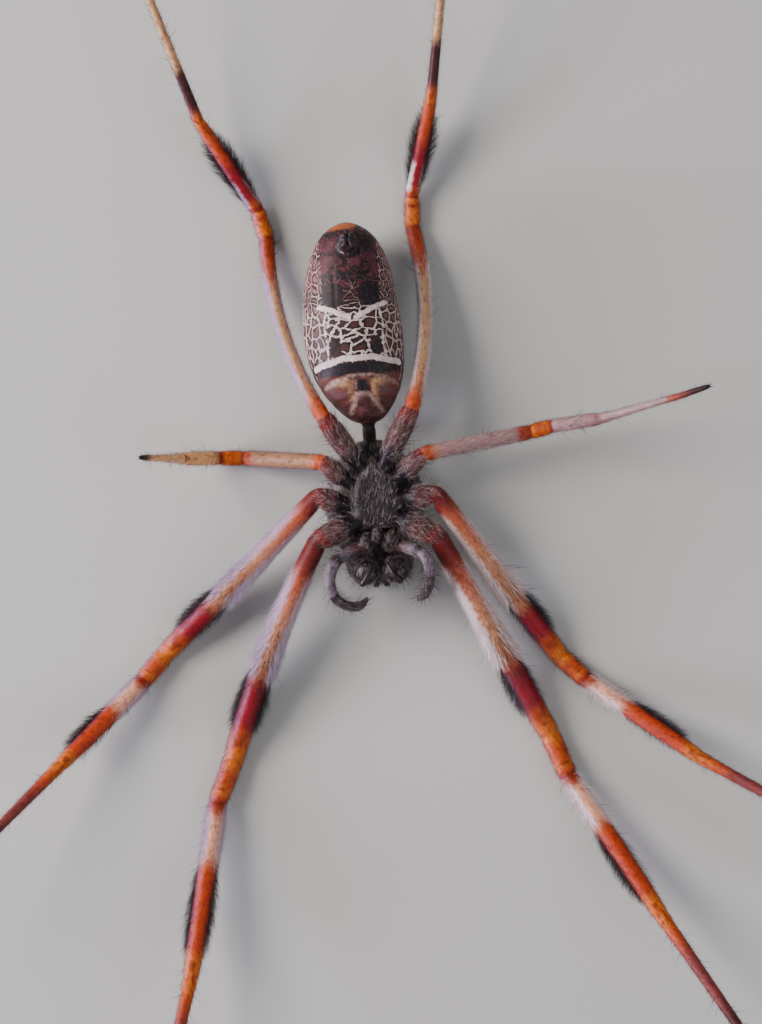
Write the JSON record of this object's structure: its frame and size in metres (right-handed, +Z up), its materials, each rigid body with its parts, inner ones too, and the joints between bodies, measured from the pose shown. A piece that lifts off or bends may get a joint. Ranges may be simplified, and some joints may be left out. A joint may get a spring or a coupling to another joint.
{
  "type": "golden silk orb weaver spider, still model",
  "caption": "Still life-size female golden silk orb weaver lying on its back in its hanging pose, long banded legs spread, brushes on femora and tibiae.",
  "frame": {"origin": "on the floor plane, below the middle of the model's bounding box", "axes": "+Y from the head towards the tip of the abdomen, +Z up out of the belly, +X to the spider's own right"},
  "size_m": [0.0792, 0.1054, 0.0121],
  "materials": {
    "abdomen_cuticle": "dark purple-brown skin with a cream-white network, fine short hair, low sheen",
    "cephalothorax_cuticle": "black-brown cuticle under silvery grey hair",
    "pedicel_membrane": "soft brown membrane",
    "spinneret_brown": "dark brown, finely haired",
    "chelicera_black": "black cuticle with pale hair, half gloss",
    "fang_black": "smooth black, glossy",
    "palp_grey": "lilac-grey, haired, dark at the tip",
    "eye_black": "black, polished",
    "coxa_grey": "mottled grey-lilac and brown, haired",
    "femur_cream": "pale tan under white hair, crimson with black brushes near the knee",
    "patella_orange": "clear orange with red-brown rings",
    "tibia_red": "pinkish cream running to orange-red, black brushes",
    "foot_dark": "orange-red darkening to purple-black, sparse bristles"
  },
  "bodies": {
    "root": {"abdomen": "abdomen_cuticle", "cephalothorax": "cephalothorax_cuticle", "pedicel": "pedicel_membrane", "spinnerets": "spinneret_brown", "chelicera_right": "chelicera_black", "fang_right": "fang_black", "palp_right": "palp_grey", "chelicera_left": "chelicera_black", "fang_left": "fang_black", "palp_left": "palp_grey", "eye_front_middle_right": "eye_black", "eye_front_middle_left": "eye_black", "eye_rear_middle_right": "eye_black", "eye_rear_middle_left": "eye_black", "eye_front_side_right": "eye_black", "eye_front_side_left": "eye_black", "eye_rear_side_right": "eye_black", "eye_rear_side_left": "eye_black", "leg_right_1_coxa": "coxa_grey", "leg_right_1_femur": "femur_cream", "leg_right_1_patella": "patella_orange", "leg_right_1_tibia": "tibia_red", "leg_right_1_foot": "foot_dark", "leg_right_2_coxa": "coxa_grey", "leg_right_2_femur": "femur_cream", "leg_right_2_patella": "patella_orange", "leg_right_2_tibia": "tibia_red", "leg_right_2_foot": "foot_dark", "leg_right_3_coxa": "coxa_grey", "leg_right_3_femur": "femur_cream", "leg_right_3_patella": "patella_orange", "leg_right_3_tibia": "tibia_red", "leg_right_3_foot": "foot_dark", "leg_right_4_coxa": "coxa_grey", "leg_right_4_femur": "femur_cream", "leg_right_4_patella": "patella_orange", "leg_right_4_tibia": "tibia_red", "leg_right_4_foot": "foot_dark", "leg_left_1_coxa": "coxa_grey", "leg_left_1_femur": "femur_cream", "leg_left_1_patella": "patella_orange", "leg_left_1_tibia": "tibia_red", "leg_left_1_foot": "foot_dark", "leg_left_2_coxa": "coxa_grey", "leg_left_2_femur": "femur_cream", "leg_left_2_patella": "patella_orange", "leg_left_2_tibia": "tibia_red", "leg_left_2_foot": "foot_dark", "leg_left_3_coxa": "coxa_grey", "leg_left_3_femur": "femur_cream", "leg_left_3_patella": "patella_orange", "leg_left_3_tibia": "tibia_red", "leg_left_3_foot": "foot_dark", "leg_left_4_coxa": "coxa_grey", "leg_left_4_femur": "femur_cream", "leg_left_4_patella": "patella_orange", "leg_left_4_tibia": "tibia_red", "leg_left_4_foot": "foot_dark"}
  },
  "joints": []
}
